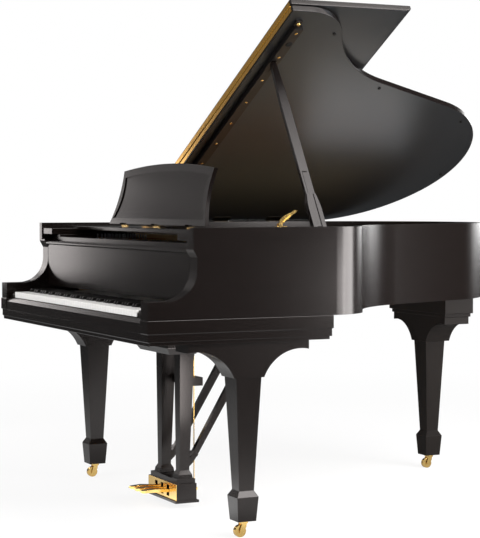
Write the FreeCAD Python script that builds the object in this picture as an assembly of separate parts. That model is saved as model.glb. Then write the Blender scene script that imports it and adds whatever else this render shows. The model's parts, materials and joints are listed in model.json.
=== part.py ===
import math
import os
import FreeCAD
import Part

os.makedirs("parts", exist_ok=True)
V = FreeCAD.Vector

# Case plan: X across the keyboard (treble +), Y from keyboard front to tail, Z up, millimetres
WHITE_PITCH = 23.5
WHITE_COUNT = 52
KEY_BLOCK_W = 64.0
ARM_T = 60.0
CASE_W = WHITE_PITCH * WHITE_COUNT + 2 * (KEY_BLOCK_W + ARM_T)
HALF = CASE_W / 2
TREBLE_STRAIGHT = 673.0
WAIST_R = 176.0
WAIST_TURN = 63.3
BENT_FLAT = 45.0
BENT_R = 578.0
BENT_TURN = 42.1
TAIL_RUN = 400.0
TAIL_R = 455.0
TAIL_TURN = 100.0
TAIL_FLAT = 5.0
# Heights above the floor
RIM_TOP = 1010.0
RIM_BOTTOM = 719.0
SLAB_BOTTOM = 640.0
BEAD_BOTTOM = 637.0
BED_TOP = 690.0
ARM_TOP = 778.0
SOUNDBOARD_Z = 880.0
PLATE_Z = 906.0
STRING_Z = 934.0
# Case thicknesses
OUTER_T = 30.0
INNER_T = 50.0
ARM_FRONT = 3.0
ARM_UPPER_Y = 158.0
ARM_COVE_R = 98.0
# Mouldings round the key bed
BAND_STEP = 4.0
BAND_TOPS = (719.0, 676.0, 650.0)
MOULD_END = 664.0
# Keyboard
KEY_TOP = 746.0
KEY_FRONT = 15.0
KEY_TAIL = 400.0
KEY_HEAD_END = 66.0
SHARP_TOP = 758.0
SHARP_W = 10.5
BALANCE_Y = 215.0
# Fallboard
FALL_FACE = 172.0
FALL_T = 18.0
FALL_BOTTOM = 768.0
FALL_TOP = 940.0
FALL_PIVOT_Y = 181.0
FALL_PIVOT_Z = 778.0
# Music desk and its tray
TRAY_TOP = 998.0
TRAY_FRONT = 268.0
TRAY_BACK = 560.0
DESK_AXIS_Y = 345.0
DESK_AXIS_Z = TRAY_TOP + 5.5
DESK_LEAN = 14.0
DESK_BOTTOM_HALF = HALF * 0.6
DESK_TOP_HALF = DESK_BOTTOM_HALF - 35.0
DESK_SIDE_H = 208.0
DESK_ARCH = 22.0
DESK_T = 14.0
STRUT_LEN = 100.0
# Lid
LID_ANGLE = 28.84
LID_T = 22.0
LID_OVER = 13.5
LID_GAP = 4.0
LID_FRONT = 602.5
FLAP_FRONT = 127.0
LID_AXIS_X = -HALF - 1.5
LID_AXIS_Z = RIM_TOP + LID_GAP
FLAP_AXIS_R = 2.5
# Lid stick
PROP_Y = 650.0
PROP_X = HALF - OUTER_T - 22.0
PROP_Z = RIM_TOP - 44.0
PROP_REACH = CASE_W - 273.0
BAR_DROP = 18.0
# Legs and casters
LEG_TOP_Z = 524.0
LEG_W = 90.0
LEG_ANKLE_W = 54.0
SPADE_W = 77.0
SPADE_FOOT_W = 65.0
SPADE_BOTTOM = 54.0
SPADE_TOP = 134.0
ANKLE_Z = 154.0
FRONT_LEG_X = HALF - 63.0
FRONT_LEG_Y = 363.0
REAR_LEG_X = -HALF + 453.0
REAR_LEG_Y = 1680.0
CASTER_R = 20.0
CASTER_TRAIL = 12.0
# Pedal lyre
LYRE_Y0 = 337.0
LYRE_HALF = 137.0
LYRE_HEAD_Z = 551.0
POST_X = 82.0
BOX_HALF = 127.0
BOX_Y0 = 367.0
BOX_Y1 = 445.0
BOX_Z0 = 28.0
BOX_Z1 = 87.0
PEDAL_PITCH = 53.0
PEDAL_AXIS_Y = 410.0
PEDAL_AXIS_Z = 56.0
ROD_Y = 468.0
ROD_R = 2.0
GUIDE_Z0 = 432.0
RUN = 0.05



def box(x0, x1, y0, y1, z0, z1):
    return Part.makeBox(x1 - x0, y1 - y0, z1 - z0, V(x0, y0, z0))


def rod(r, a, b):
    a = V(*a)
    d = V(*b) - a
    return Part.makeCylinder(r, d.Length, a, d)


def slab(points, axis, a, b):
    # Straight-sided prism: points lie in the plane square to the axis, in the order of the other axes
    at = {"x": lambda p: V(a, p[0], p[1]), "y": lambda p: V(p[0], a, p[1]),
          "z": lambda p: V(p[0], p[1], a)}[axis]
    way = {"x": V(b - a, 0, 0), "y": V(0, b - a, 0), "z": V(0, 0, b - a)}[axis]
    ring = [at(p) for p in points]
    return Part.Face(Part.makePolygon(ring + ring[:1])).extrude(way)


def taper(rings):
    # Stack of square-cornered sections (cx, cy, half x, half y, z) joined by flat sides
    loops = []
    for cx, cy, hx, hy, z in rings:
        loops.append([V(cx - hx, cy - hy, z), V(cx + hx, cy - hy, z), V(cx + hx, cy + hy, z),
                      V(cx - hx, cy + hy, z)])
    faces = [Part.Face(Part.makePolygon(c + c[:1])) for c in (loops[0], loops[-1])]
    for low, high in zip(loops[:-1], loops[1:]):
        for i in range(4):
            j = (i + 1) % 4
            faces.append(Part.Face(Part.makePolygon([low[i], low[j], high[j], high[i], low[i]])))
    return Part.Solid(Part.Shell(faces))


def arc_step(pos, head, radius, turn):
    # One bend of the case: positive turn bends to the left of travel
    h0 = math.radians(head)
    h1 = math.radians(head + turn)
    hm = (h0 + h1) / 2
    k = 1.0 if turn > 0 else -1.0

    def spot(h):
        return V(pos.x + k * radius * (math.sin(h) - math.sin(h0)),
                 pos.y + k * radius * (math.cos(h0) - math.cos(h)), pos.z)
    return Part.Arc(pos, spot(hm), spot(h1)).toShape(), spot(h1)


def case_path(inset, y0, z):
    # Side of the case seen from above, from the treble front round the tail to the bass front
    edges = []
    pos = V(HALF - inset, y0, z)
    head = 90.0
    run = [(None, TREBLE_STRAIGHT - y0), (WAIST_R - inset, WAIST_TURN), (None, BENT_FLAT),
           (BENT_R + inset, -BENT_TURN), (None, TAIL_RUN), (TAIL_R - inset, TAIL_TURN), (None, TAIL_FLAT)]
    for radius, amount in run:
        if radius is None:
            d = V(math.cos(math.radians(head)), math.sin(math.radians(head)), 0) * amount
            edges.append(Part.makeLine(pos, pos + d))
            pos = pos + d
        else:
            edge, pos = arc_step(pos, head, radius, amount)
            edges.append(edge)
            head += amount
    last_r = (pos.x + HALF - inset) / (1.0 + math.sin(math.radians(head)))
    edge, pos = arc_step(pos, head, last_r, 270.0 - head)
    edges.append(edge)
    edges.append(Part.makeLine(pos, V(pos.x, y0, z)))
    return edges


def case_face(inset, y0, z):
    path = case_path(inset, y0, z)
    a = path[0].valueAt(path[0].FirstParameter)
    b = V(-a.x, a.y, a.z)
    return Part.Face(Part.Wire(path + [Part.makeLine(b, a)]))


def case_block(inset, y0, z0, z1):
    return case_face(inset, y0, z0).extrude(V(0, 0, z1 - z0))


def case_ring(inset, t, y0, z0, z1):
    return case_block(inset, y0, z0, z1).cut(case_block(inset + t, y0 - 1.0, z0 - 1.0, z1 + 1.0))


def mirror_x(shape):
    return shape.mirror(V(0, 0, 0), V(1, 0, 0))


# Middle of the whole piano's box: the folded flap's corner leans out on the bass side
TAIL_Y = max(e.BoundBox.YMax for e in case_path(-LID_OVER, ARM_FRONT, 0.0))
RAISED = math.radians(LID_ANGLE)
FLAP_LEAN = 2 * (LID_T + FLAP_AXIS_R) * math.sin(RAISED) - 3.5 * math.cos(RAISED)
MID = V((FLAP_LEAN - LID_AXIS_X - HALF - BAND_STEP) / 2, -TAIL_Y / 2, 0)


def save(name, shapes):
    shape = Part.makeCompound(shapes) if isinstance(shapes, list) else shapes
    shape = shape.copy()
    shape.translate(MID)
    shape.exportStep("parts/" + name + ".step")


def raise_lid(shape):
    out = shape.copy()
    out.rotate(V(LID_AXIS_X, 0, LID_AXIS_Z), V(0, 1, 0), -LID_ANGLE)
    return out


# Outer rim with its two arms, the curved cheeks at the sides of the keyboard
arm_in = HALF - ARM_T
outer = case_ring(0.0, OUTER_T, ARM_FRONT, RIM_BOTTOM, RIM_TOP)
arm = box(arm_in, HALF - OUTER_T, ARM_FRONT, ARM_UPPER_Y + 142, RIM_BOTTOM, RIM_TOP)
outer = outer.fuse([arm, mirror_x(arm)])
cove_y = ARM_UPPER_Y + 14.0 - ARM_COVE_R
cove_z = ARM_TOP + ARM_COVE_R
s45 = ARM_COVE_R * math.sqrt(0.5)
front = [Part.makeLine(V(0, -20, ARM_TOP), V(0, cove_y, ARM_TOP)),
         Part.Arc(V(0, cove_y, ARM_TOP), V(0, cove_y + s45, cove_z - s45),
                  V(0, cove_y + ARM_COVE_R, cove_z)).toShape(),
         Part.makeLine(V(0, cove_y + ARM_COVE_R, cove_z), V(0, cove_y + ARM_COVE_R, RIM_TOP - 95)),
         Part.makeLine(V(0, cove_y + ARM_COVE_R, RIM_TOP - 95), V(0, ARM_UPPER_Y, RIM_TOP - 70)),
         Part.makeLine(V(0, ARM_UPPER_Y, RIM_TOP - 70), V(0, ARM_UPPER_Y, RIM_TOP + 20)),
         Part.makeLine(V(0, ARM_UPPER_Y, RIM_TOP + 20), V(0, -20, RIM_TOP + 20)),
         Part.makeLine(V(0, -20, RIM_TOP + 20), V(0, -20, ARM_TOP))]
cut = Part.Face(Part.Wire(front)).extrude(V(CASE_W + 20, 0, 0))
cut.translate(V(-HALF - 10, 0, 0))
notch = box(arm_in - 1, HALF - OUTER_T + 3, ARM_UPPER_Y - 10, ARM_UPPER_Y + 143, FALL_TOP + 6, RIM_TOP + 1)
outer = outer.cut([cut, notch, mirror_x(notch)])
for side in (1, -1):
    hole = rod(3.0 + RUN, (side * (arm_in - 1), FALL_PIVOT_Y, FALL_PIVOT_Z),
               (side * (arm_in + 16), FALL_PIVOT_Y, FALL_PIVOT_Z))
    outer = outer.cut(hole)
save("outer_rim", outer.removeSplitter())

# Inner rim, belly rail and the beams under the soundboard
belly_y = 520.0
inner = case_ring(OUTER_T, INNER_T, 300.0, RIM_BOTTOM, SOUNDBOARD_Z)
save("inner_rim", inner)
room = case_block(OUTER_T + INNER_T, 300.0, RIM_BOTTOM, SOUNDBOARD_Z)
well = HALF - OUTER_T - INNER_T
frame = [box(-well, well, belly_y, belly_y + 50, RIM_BOTTOM, SOUNDBOARD_Z)]
frame.append(box(-well, well, 690.0, 760.0, RIM_BOTTOM, RIM_BOTTOM + 70).common(room))
frame.append(box(-HALF, HALF, 1600.0, 1740.0, RIM_BOTTOM, RIM_BOTTOM + 70).common(room))
for x0, x1 in ((-480, -420), (-60, -210), (330, -20)):
    beam = slab([(x0 - 30, 760), (x0 + 30, 760), (x1 + 30, 1600), (x1 - 30, 1600)], "z", RIM_BOTTOM + 20,
                RIM_BOTTOM + 90)
    frame.append(beam.common(room))
pin_y0 = 318.0
pin_y1 = 448.0
frame.append(box(-well, well, pin_y0, pin_y1, PLATE_Z - 38, PLATE_Z))
save("case_frame", frame)

# Key bed, its mouldings, the key slip and the two key blocks
bed = box(-HALF + BAND_STEP, HALF - BAND_STEP, 12.0, MOULD_END - 12, SLAB_BOTTOM, RIM_BOTTOM)
bed = bed.cut(box(-arm_in, arm_in, 0.0, MOULD_END, BED_TOP, RIM_BOTTOM + 1))
for i in (-1, 0, 1):
    x = i * PEDAL_PITCH
    bed = bed.cut(rod(ROD_R + 2, (x, ROD_Y, SLAB_BOTTOM - 1), (x, ROD_Y, BED_TOP + 1)))
save("keybed", bed)
bands = None
floors = BAND_TOPS[1:] + (BEAD_BOTTOM,)
for i, (top, low) in enumerate(zip(BAND_TOPS, floors)):
    out = HALF + BAND_STEP - i * BAND_STEP
    ring = box(-out, out, i * BAND_STEP, MOULD_END - i * BAND_STEP, low, top)
    ring = ring.cut(box(-HALF + BAND_STEP, HALF - BAND_STEP, 12.0, MOULD_END + 1, low - 1, top + 1))
    if i == 0:
        ring = ring.cut(box(-arm_in, arm_in, -1.0, 13.0, low, top + 1))
    bands = ring if bands is None else bands.fuse(ring)
save("base_moulding", bands.removeSplitter())
slip_end = arm_in - 0.2
slip = slab([(2, 676), (2, 708), (13.5, 722), (13.5, BED_TOP), (12, BED_TOP), (12, 676)], "x", -slip_end,
            slip_end)
mitre = slab([(slip_end + 1, 707), (slip_end + 1, 723), (slip_end - 12, 723)], "y", 0.0, 20.0)
save("key_slip", slip.cut([mitre, mirror_x(mitre)]))
key_half = WHITE_PITCH * WHITE_COUNT / 2
blocks = []
for side in (1, -1):
    block = slab([(15, BED_TOP), (15, KEY_TOP - 10), (21, KEY_TOP), (205, KEY_TOP), (205, BED_TOP)], "x",
                 key_half + 5, arm_in - 0.2)
    blocks.append(block if side > 0 else mirror_x(block))
save("key_blocks", blocks)

# Soundboard with its bridges, the iron plate, tuning pins and one string for each note
NOTES = 88
BASS_NOTES = 26
BREAKS = (25, 50, 68)
BREAK_W = 30.0
STRUNG_HALF = key_half - 21.0
note_pitch = (2 * STRUNG_HALF - BREAK_W * len(BREAKS)) / (NOTES - 1)


def note_x(n):
    return -STRUNG_HALF + note_pitch * n + BREAK_W * sum(1 for b in BREAKS if n > b)


def far_x(n):
    # Where a string would pass the line y = 1900: bass strings cross over the others
    return note_x(n) * 0.574 + 11.6 if n < BASS_NOTES else note_x(n) * 0.93 - 60.0


def string_x(n, y):
    pin = pin_row(n) + 3.2
    return note_x(n) + (far_x(n) - note_x(n)) * (y - pin) / (1900.0 - pin)


def pin_row(n):
    return pin_y0 + 28 + 26 * (n % 4)


board = case_block(OUTER_T, belly_y, SOUNDBOARD_Z, SOUNDBOARD_Z + 8)
long_outer = [(560, 700), (323, 901), (230, 1010), (145, 1158), (60, 1400), (-20, 1490), (-120, 1530),
              (-240, 1530)]
long_inner = [(-240, 1502), (-125, 1502), (-40, 1466), (33, 1390), (119, 1147), (206, 992), (304, 879),
              (541, 678)]
long_bridge = slab(long_outer + long_inner, "z", SOUNDBOARD_Z + 8, STRING_Z - 1)
bass_bridge = slab([(-420, 1552), (-408, 1524), (-140, 1640), (-152, 1668)], "z", SOUNDBOARD_Z + 8,
                   STRING_Z + 17)
save("soundboard", [board, long_bridge, bass_bridge])
plate = case_block(OUTER_T + 6, pin_y0 + 2, PLATE_Z, PLATE_Z + 8)
hole_zone = case_block(OUTER_T + 95, belly_y - 4, PLATE_Z - 1, PLATE_Z + 9)
plate = plate.cut([hole_zone, box(-well - 5, well + 5, 452, belly_y + 3, PLATE_Z - 1, PLATE_Z + 9)])
plate_zone = case_block(OUTER_T + 20, pin_y0, PLATE_Z - 1, PLATE_Z + 40)
bridge_room = []
for move in (V(5, 0, 0), V(-5, 0, 0), V(0, 5, 0), V(0, -5, 0)):
    for bridge in (long_bridge, bass_bridge):
        grown = bridge.copy()
        grown.translate(move)
        bridge_room.append(grown)
for b in BREAKS:
    x0 = (string_x(b, belly_y - 5.0) + string_x(b + 1, belly_y - 5.0)) / 2 + 5.5
    x1 = x0 - 60.0
    strut = slab([(x0 - 6, pin_y1 - 60), (x0 + 6, pin_y1 - 60), (x1 + 6, 1780), (x1 - 6, 1780)], "z",
                 PLATE_Z, PLATE_Z + 20)
    plate = plate.fuse(strut.common(plate_zone))
save("iron_plate", plate.cut(bridge_room).removeSplitter())
bass_zone = case_block(OUTER_T + 60, 300.0, STRING_Z - 5, STRING_Z + 40)
treble_zone = slab([(-700, 300), (640, 300), (640, 735), (590, 735), (350, 930), (258, 1030), (178, 1175),
                    (95, 1410), (0, 1520),
                    (-115, 1560), (-700, 1560)], "z", STRING_Z - 5, STRING_Z + 40)
pins = []
strings = []
for n in range(NOTES):
    x = note_x(n)
    y = pin_row(n)
    rise = 18.0 if n < BASS_NOTES else 0.0
    z = STRING_Z + rise
    pins.append(box(x - 3.2, x + 3.2, y - 3.2, y + 3.2, PLATE_Z + 8, STRING_Z + 6 + rise))
    wire = slab([(x - 1, y + 3.2), (x + 1, y + 3.2), (far_x(n) + 1, 1900), (far_x(n) - 1, 1900)], "z",
                z - 1, z + 1)
    strings.append(wire.common(bass_zone if n < BASS_NOTES else treble_zone))
save("tuning_pins", pins)
save("strings", strings)

# Dampers standing on the strings, hammers below them and the frame that carries keys and hammers
DAMPED = 66
STRIKE_Y = belly_y - 48.0
DAMPER_Y = belly_y - 16.0
DAMPER_H = 34.0
shank = [(STRIKE_Y - 132, STRING_Z - 96), (STRIKE_Y + 18, STRING_Z - 94), (STRIKE_Y + 20, STRING_Z - 72),
         (STRIKE_Y, STRING_Z - 42), (STRIKE_Y - 14, STRING_Z - 84), (STRIKE_Y - 132, STRING_Z - 88)]
dampers = []
hammers = []
for n in range(NOTES):
    xh = string_x(n, STRIKE_Y)
    hammers.append(slab(shank, "x", xh - 4.2, xh + 4.2))
    if n < DAMPED:
        xs = string_x(n, DAMPER_Y)
        z = STRING_Z + (19 if n < BASS_NOTES else 1)
        pad = box(xs - 4.5, xs + 5.8, DAMPER_Y - 10, DAMPER_Y + 10, z, STRING_Z + DAMPER_H)
        stem = box(xs + 3.4, xs + 5.8, DAMPER_Y + 10, DAMPER_Y + 13, STRING_Z - 134, STRING_Z + DAMPER_H)
        dampers.append(pad.fuse(stem))
save("hammers", hammers)
bench = BED_TOP + 0.2
BALANCE_R = 6.0
key_floor = bench + 34
balance_z = key_floor - BALANCE_R - 0.2
carry = [box(-key_half, key_half, 35, 95, bench, bench + 20),
         box(-key_half, key_half, BALANCE_Y - 20, BALANCE_Y + 20, bench, bench + 26),
         rod(BALANCE_R, (-key_half, BALANCE_Y, balance_z), (key_half, BALANCE_Y, balance_z)),
         box(-key_half - 3, key_half + 3, 350, 395, bench, bench + 26), box(-key_half - 3, key_half + 3,
                                                                            300, 340, 800, 850)]
for x in (-key_half + 8, -200, 200, key_half - 8):
    carry.append(box(x - 2, x + 2, 35, 395, bench, bench + 14))
for x in (-key_half - 3.3, key_half + 0.3):
    carry.append(box(x, x + 3, 300, 395, bench, 850))
whole = carry[0]
for piece in carry[1:]:
    whole = whole.fuse(piece)
save("action_frame", whole.removeSplitter())
lifter = box(string_x(0, DAMPER_Y), string_x(DAMPED - 1, DAMPER_Y) + 5.8, DAMPER_Y + 10, DAMPER_Y + 13,
             STRING_Z - 154, STRING_Z - 134)
save("dampers", dampers + [lifter])

# Keys in three sections: white keys with their notches and the raised black keys between them
letters = "CDEFGAB"
splits = (0, 16, 37, WHITE_COUNT)
names = ("bass", "middle", "treble")
for s in range(3):
    whites = []
    blacks = []
    for w in range(splits[s], splits[s + 1]):
        x0 = -key_half + w * WHITE_PITCH
        x1 = x0 + WHITE_PITCH
        name = letters[(w + 5) % 7]
        left = SHARP_W / 2 + 1 if name in "DEGAB" and w > 0 else 0.5
        right = SHARP_W / 2 + 1 if name in "CDFGA" and w < WHITE_COUNT - 1 else 0.5
        ring = [(x0 + 0.5, KEY_FRONT), (x1 - 0.5, KEY_FRONT), (x1 - 0.5, KEY_HEAD_END),
                (x1 - right, KEY_HEAD_END),
                (x1 - right, KEY_TAIL), (x0 + left, KEY_TAIL), (x0 + left, KEY_HEAD_END), (x0 + 0.5,
                                                                                           KEY_HEAD_END)]
        ring = [p for i, p in enumerate(ring) if p != ring[i - 1]]
        whites.append(slab(ring, "z", key_floor, KEY_TOP))
        if name in "CDFGA" and w < WHITE_COUNT - 1:
            side = [(KEY_HEAD_END + 1.5, key_floor), (KEY_HEAD_END + 1.5, KEY_TOP + 2),
                    (KEY_HEAD_END + 8, SHARP_TOP),
                    (164, SHARP_TOP), (167, KEY_TOP), (KEY_TAIL, KEY_TOP), (KEY_TAIL, key_floor)]
            blacks.append(slab(side, "x", x1 - SHARP_W / 2, x1 + SHARP_W / 2))
    save("white_keys_" + names[s], whites)
    save("black_keys_" + names[s], blacks)

# Fallboard that turns down over the keys, on two pins in the arms
fall = box(-arm_in + 3, arm_in - 3, FALL_FACE, FALL_FACE + FALL_T, FALL_BOTTOM, FALL_TOP - 6)
lip = [(FALL_FACE - 6, FALL_TOP), (FALL_FACE - 10, FALL_TOP - 5), (FALL_FACE - 10, FALL_TOP - 10),
       (FALL_FACE - 6, FALL_TOP - 14),
       (FALL_FACE, FALL_TOP - 14), (FALL_FACE + FALL_T, FALL_TOP - 14), (FALL_FACE + FALL_T, FALL_TOP)]
fall = fall.fuse(slab(lip, "x", -arm_in + 3, arm_in - 3))
for side in (1, -1):
    fall = fall.fuse(rod(3.0, (side * (arm_in - 20), FALL_PIVOT_Y, FALL_PIVOT_Z),
                         (side * (arm_in + 14), FALL_PIVOT_Y, FALL_PIVOT_Z)))
save("fallboard", fall.removeSplitter())

# Cross rail behind the fallboard and the two side rails that carry the sliding music tray
RAIL_TOP = RIM_TOP - 44.0
RAIL_SPLIT = arm_in - 75.0
TRAY_END_T = 23.8
rail_y = FALL_FACE + FALL_T + 4
side_y = ARM_UPPER_Y + 143.0
rail = box(-arm_in, arm_in, rail_y, rail_y + 24, FALL_TOP - 40, RAIL_TOP - 28)
rail = rail.fuse(box(-RAIL_SPLIT, RAIL_SPLIT, rail_y, rail_y + 24, FALL_TOP - 10, RAIL_TOP - 9))
for side in (1, -1):
    low = box(RAIL_SPLIT, arm_in, rail_y, side_y, RAIL_TOP - 28, RAIL_TOP)
    low = low.fuse(box(RAIL_SPLIT, HALF - OUTER_T, side_y, TRAY_BACK + 30, RAIL_TOP - 28, RAIL_TOP))
    rail = rail.fuse(low if side > 0 else mirror_x(low))
save("tray_rails", rail.removeSplitter())
tray_half = HALF - OUTER_T - 1
tray = box(-tray_half + 40, tray_half - 40, TRAY_FRONT, TRAY_BACK, TRAY_TOP - 14, TRAY_TOP)
for side in (1, -1):
    seat_z = RAIL_TOP + 0.2
    cheek = box(RAIL_SPLIT, tray_half, ARM_UPPER_Y + 4, TRAY_BACK, seat_z, seat_z + TRAY_END_T)
    tray = tray.fuse(cheek if side > 0 else mirror_x(cheek))
save("music_tray", tray.removeSplitter())

# Music desk: arched panel with hollow sides, raised border, three hinges and the strut behind it
def desk_edge(grow, y):
    w0 = DESK_BOTTOM_HALF + grow
    w1 = DESK_TOP_HALF + grow
    mid = (w0 * 0.36 + w1 * 0.64) - 20.0
    top = DESK_SIDE_H + grow
    a = [V(-w0, y, -grow), V(w0, y, -grow), V(w1, y, top), V(-w1, y, top)]
    return Part.Wire([Part.makeLine(a[0], a[1]), Part.Arc(a[1], V(mid, y, top * 0.52), a[2]).toShape(),
                      Part.Arc(a[2], V(0, y, top + DESK_ARCH), a[3]).toShape(), Part.Arc(a[3],
                                                                                         V(-mid, y,
                                                                                           top * 0.52),
                                                                                           a[0]).toShape()])


def tilt_desk(shape):
    out = shape.copy()
    out.rotate(V(0, 0, 0), V(1, 0, 0), -DESK_LEAN)
    out.translate(V(0, DESK_AXIS_Y, DESK_AXIS_Z))
    return out


desk = Part.Face(desk_edge(0.0, -DESK_T + 4)).extrude(V(0, DESK_T, 0))
sink = Part.Face(desk_edge(-26.0, -DESK_T + 3)).extrude(V(0, 3, 0))
desk = desk.cut([sink, box(-DESK_BOTTOM_HALF, DESK_BOTTOM_HALF, -20, 20, -1, 3)])
for x in (-300, 0, 300):
    desk = desk.cut(box(x - 31, x + 31, -20, 20, -1, 7))
desk = desk.cut(box(-22, 22, -5.4, 20, STRUT_LEN - 15, 2 * STRUT_LEN + 7))
desk = desk.fuse(rod(1.5, (-24, 0, STRUT_LEN), (24, 0, STRUT_LEN)))
desk = tilt_desk(desk)
save("music_desk", desk)
hinges = []
for x in (-300, 0, 300):
    pin = rod(2.4, (x - 28, DESK_AXIS_Y, DESK_AXIS_Z), (x + 28, DESK_AXIS_Y, DESK_AXIS_Z))
    foot = box(x - 28, x + 28, DESK_AXIS_Y - 2, DESK_AXIS_Y + 2, TRAY_TOP, DESK_AXIS_Z)
    hinges.append(pin.fuse(foot).removeSplitter())
save("desk_hinges", hinges)
foot_r = DESK_AXIS_Z - TRAY_TOP - 0.3
strut = box(-18, 18, -2.5, 2.5, -STRUT_LEN, 4).fuse(rod(foot_r, (-18, 0, -STRUT_LEN), (18, 0, -STRUT_LEN)))
strut = strut.cut(rod(1.5 + RUN, (-20, 0, 0), (20, 0, 0))).removeSplitter()
strut.rotate(V(0, 0, 0), V(1, 0, 0), DESK_LEAN)
strut.translate(V(0, DESK_AXIS_Y + STRUT_LEN * math.sin(math.radians(DESK_LEAN)),
                  DESK_AXIS_Z + STRUT_LEN * math.cos(math.radians(DESK_LEAN))))
save("desk_strut", strut)

# Main lid raised on its stick, with the front flap folded back on top of it
lid_z0 = RIM_TOP + LID_GAP
lid_z1 = lid_z0 + LID_T
spine_x = -HALF + 2.0
lid = case_block(-LID_OVER, LID_FRONT, lid_z0, lid_z1)
lid = lid.cut(box(-HALF - 50, spine_x, 0, TAIL_Y, lid_z0 - 1, lid_z1 + 1))
save("main_lid", raise_lid(lid))
flap_axis_y = LID_FRONT - 1.5
flap_axis_z = lid_z1 + FLAP_AXIS_R


def fold_flap(shape):
    out = shape.copy()
    out.rotate(V(0, flap_axis_y, flap_axis_z), V(1, 0, 0), 180.0)
    return raise_lid(out)


flap_back = flap_axis_y - 1.5
flap = slab([(FLAP_FRONT, lid_z0), (FLAP_FRONT, lid_z1 - 7), (FLAP_FRONT + 22, lid_z1),
             (flap_back, lid_z1), (flap_back, lid_z0)],
            "x", spine_x, HALF + LID_OVER)
save("front_flap", fold_flap(flap))
leaf_a = box(spine_x + 4, HALF + 4, flap_axis_y + 0.2, LID_FRONT, lid_z1 - 17, flap_axis_z)
leaf_b = box(spine_x + 4, HALF + 4, flap_back, flap_axis_y - 0.2, lid_z1 - 17, flap_axis_z)
count = 5
pitch = (HALF + 4 - spine_x - 4) / count
for i in range(count):
    a = spine_x + 4 + i * pitch + 0.2
    b = a + pitch - 0.4
    six = [(flap_axis_y + FLAP_AXIS_R * math.cos(math.radians(60 * k)),
            flap_axis_z + FLAP_AXIS_R * math.sin(math.radians(60 * k))) for k in range(6)]
    room = FLAP_AXIS_R + 0.3
    notch = box(a - 0.2, b + 0.2, flap_axis_y - room, flap_axis_y + room, flap_axis_z - room,
                flap_axis_z + room)
    if i % 2 == 0:
        leaf_a = leaf_a.fuse(slab(six, "x", a, b))
        leaf_b = leaf_b.cut(notch)
    else:
        leaf_b = leaf_b.fuse(slab(six, "x", a, b))
        leaf_a = leaf_a.cut(notch)
core = (spine_x + 4.4, HALF + 3.6)
leaf_a = leaf_a.fuse(rod(1.0, (core[0], flap_axis_y, flap_axis_z), (core[1], flap_axis_y, flap_axis_z)))
leaf_b = leaf_b.cut(rod(1.0 + RUN, (core[0] - 9, flap_axis_y, flap_axis_z),
                        (core[1] + 9, flap_axis_y, flap_axis_z)))
save("flap_hinge_lid_leaf", raise_lid(leaf_a.removeSplitter()))
save("flap_hinge_flap_leaf", fold_flap(leaf_b.removeSplitter()))

# Bar under the lid with its screws, the socket plate and rubber buffers
bar_y0 = 640.0
bar_y1 = 676.0
bar_x1 = HALF - 70.0
bar = box(-330, bar_x1, bar_y0, bar_y1, lid_z0 - BAR_DROP, lid_z0)
cup_x = LID_AXIS_X + PROP_REACH
bar = bar.cut(rod(9.0, (cup_x + 116, 661, lid_z0 - BAR_DROP - 1),
                  (cup_x + 116, 661, lid_z0 - BAR_DROP + 8)))
socket = box(HALF - 60, HALF - 36, 636, 660, lid_z0 - 9, lid_z0)
screws = []
for i in range(7):
    x = -237.0 + 146.5 * i
    ring = [(x + 5 * math.cos(math.radians(45 * k)),
             658 + 5 * math.sin(math.radians(45 * k))) for k in range(8)]
    screws.append(raise_lid(slab(ring, "z", lid_z0 - BAR_DROP - 1.2, lid_z0 - BAR_DROP)))
save("lid_screws", screws)
edge_path = case_path(OUTER_T / 2, LID_FRONT, lid_z0 - LID_GAP + 0.3)
buffers = []
for index, part in ((2, 0.1), (4, 0.05), (5, 0.2), (5, 0.8), (8, 0.35)):
    e = edge_path[index]
    c = e.valueAt(e.FirstParameter + part * (e.LastParameter - e.FirstParameter))
    ring = [(c.x + 6 * math.cos(math.radians(45 * k)),
             c.y + 6 * math.sin(math.radians(45 * k))) for k in range(8)]
    buffers.append(raise_lid(slab(ring, "z", c.z, lid_z0)))
save("lid_buffers", buffers)

# Lid hinges down the bass side: six-sided knuckles on a round pin
def knuckle(x, z, r, y0, y1):
    six = [(x + r * math.cos(math.radians(60 * k)), z + r * math.sin(math.radians(60 * k))) for k in range(6)]
    return slab(six, "y", y0, y1)


case_leaf = []
lid_leaf = []
spine = case_path(0.0, LID_FRONT, 0.0)[-1].BoundBox
for part in (0.134, 0.478, 0.822):
    y = spine.YMin + part * spine.YLength
    a = box(LID_AXIS_X, spine_x + 30, y - 38, y + 38, RIM_TOP, RIM_TOP + 1.4)
    for k in (-1, 1):
        a = a.fuse(knuckle(LID_AXIS_X, LID_AXIS_Z, 2.6, y + k * 26 - 12, y + k * 26 + 12))
        a = a.fuse(box(LID_AXIS_X - 1, LID_AXIS_X + 1, y + k * 26 - 12, y + k * 26 + 12, RIM_TOP, LID_AXIS_Z))
    a = a.fuse(rod(1.2, (LID_AXIS_X, y - 30, LID_AXIS_Z), (LID_AXIS_X, y + 30, LID_AXIS_Z)))
    case_leaf.append(a.removeSplitter())
    b = box(spine_x + 0.8, spine_x + 30, y - 38, y + 38, lid_z0 - 1.4, lid_z0)
    b = b.fuse(box(LID_AXIS_X, spine_x + 2, y - 13, y + 13, lid_z0 - 1.4, lid_z0))
    b = b.fuse(knuckle(LID_AXIS_X, LID_AXIS_Z, 2.6, y - 13, y + 13))
    b = b.cut(rod(1.2 + RUN, (LID_AXIS_X, y - 31, LID_AXIS_Z), (LID_AXIS_X, y + 31, LID_AXIS_Z)))
    lid_leaf.append(raise_lid(b.removeSplitter()))
save("lid_hinges_case", case_leaf)
save("lid_hinges_lid", lid_leaf)

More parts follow.
